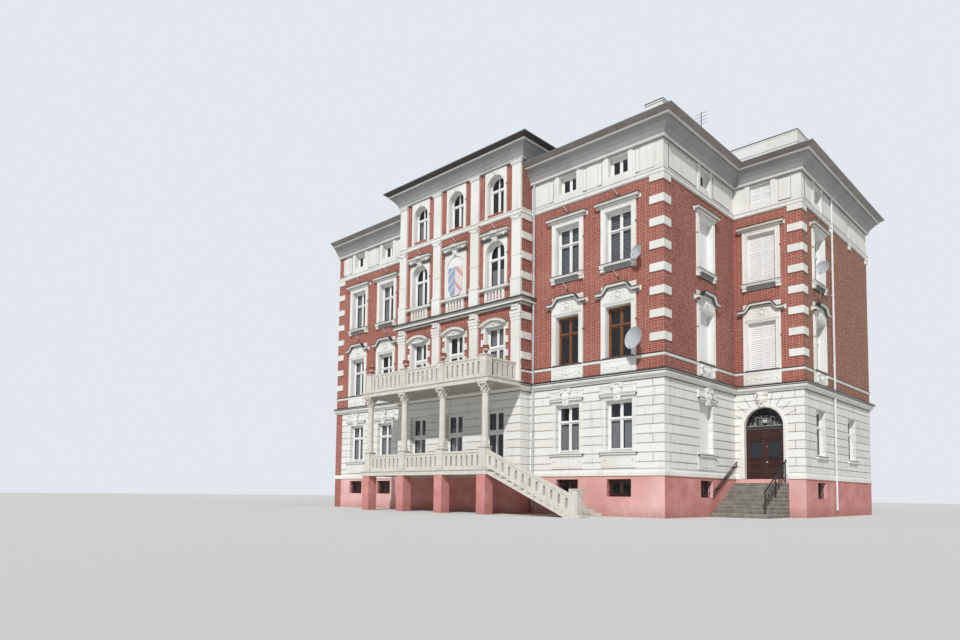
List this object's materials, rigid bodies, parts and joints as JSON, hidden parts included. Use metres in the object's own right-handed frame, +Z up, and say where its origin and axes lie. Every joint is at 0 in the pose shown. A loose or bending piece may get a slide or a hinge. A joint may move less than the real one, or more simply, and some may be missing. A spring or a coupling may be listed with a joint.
{
  "type": "town hall building",
  "caption": "Brick and stucco town hall with a raised centre block, a columned terrace under a balcony and an arched side door that opens.",
  "frame": {"origin": "foot of the centre block's front wall, on the front's middle line, in the middle of the wall's thickness", "axes": "+X along the front to the right, +Y into the building, +Z up"},
  "size_m": [25.81, 20.46, 18.22],
  "materials": {
    "brick": "matte",
    "white_stucco": "matte",
    "rose_plinth": "matte",
    "sandstone": "matte",
    "steps_stone": "matte",
    "floor_boards": "matte",
    "sheet_metal": "satin",
    "window_paint": "satin",
    "glass": "gloss",
    "door_wood": "satin",
    "black_iron": "satin",
    "pipe_metal": "satin",
    "dish_metal": "satin"
  },
  "bodies": {
    "building": {"plinth_walls": "rose_plinth", "plinth_side_walls": "rose_plinth", "ground_wall_front": "white_stucco", "ground_wall_centre": "white_stucco", "ground_wall_side": "white_stucco", "ground_wall_back": "white_stucco", "door_wall_piers": "white_stucco", "door_wall_arch": "white_stucco", "brick_wall_front": "brick", "brick_wall_centre": "brick", "brick_wall_side": "brick", "brick_wall_back": "brick", "party_wall": "brick", "frieze_walls": "white_stucco", "frieze_side_walls": "white_stucco", "centre_attic_walls": "brick", "floors": "floor_boards", "string_courses": "white_stucco", "main_cornice": "white_stucco", "gutters": "sheet_metal", "roof": "sheet_metal", "roof_parapets": "white_stucco", "quoins": "white_stucco", "pilasters": "white_stucco", "window_jambs": "white_stucco", "window_hoods": "white_stucco", "ground_window_trim": "white_stucco", "ground_windows": "window_paint", "upper_windows": "window_paint", "small_windows": "window_paint", "window_glass": "glass", "shutters": "window_paint", "door_frame": "door_wood", "side_steps": "steps_stone", "side_railings": "black_iron", "terrace": "sandstone", "terrace_stair": "sandstone", "terrace_balustrade": "sandstone", "portico_columns": "sandstone", "balcony_slab": "sandstone", "balcony_balustrade": "sandstone", "downpipes": "pipe_metal", "roof_fittings": "dish_metal"},
    "door_leaf_left": {"door_leaf_left": "door_wood"},
    "door_leaf_right": {"door_leaf_right": "door_wood"}
  },
  "joints": [
    {"name": "left_leaf_hinge", "type": "hinge", "parent": "building", "child": "door_leaf_left", "pos_m": [11.465, 7.322, 1.679], "axis": [0, 0, 1], "range_deg": [0, 90]},
    {"name": "right_leaf_hinge", "type": "hinge", "parent": "building", "child": "door_leaf_right", "pos_m": [13.085, 7.322, 1.679], "axis": [0, 0, -1], "range_deg": [0, 90]}
  ]
}
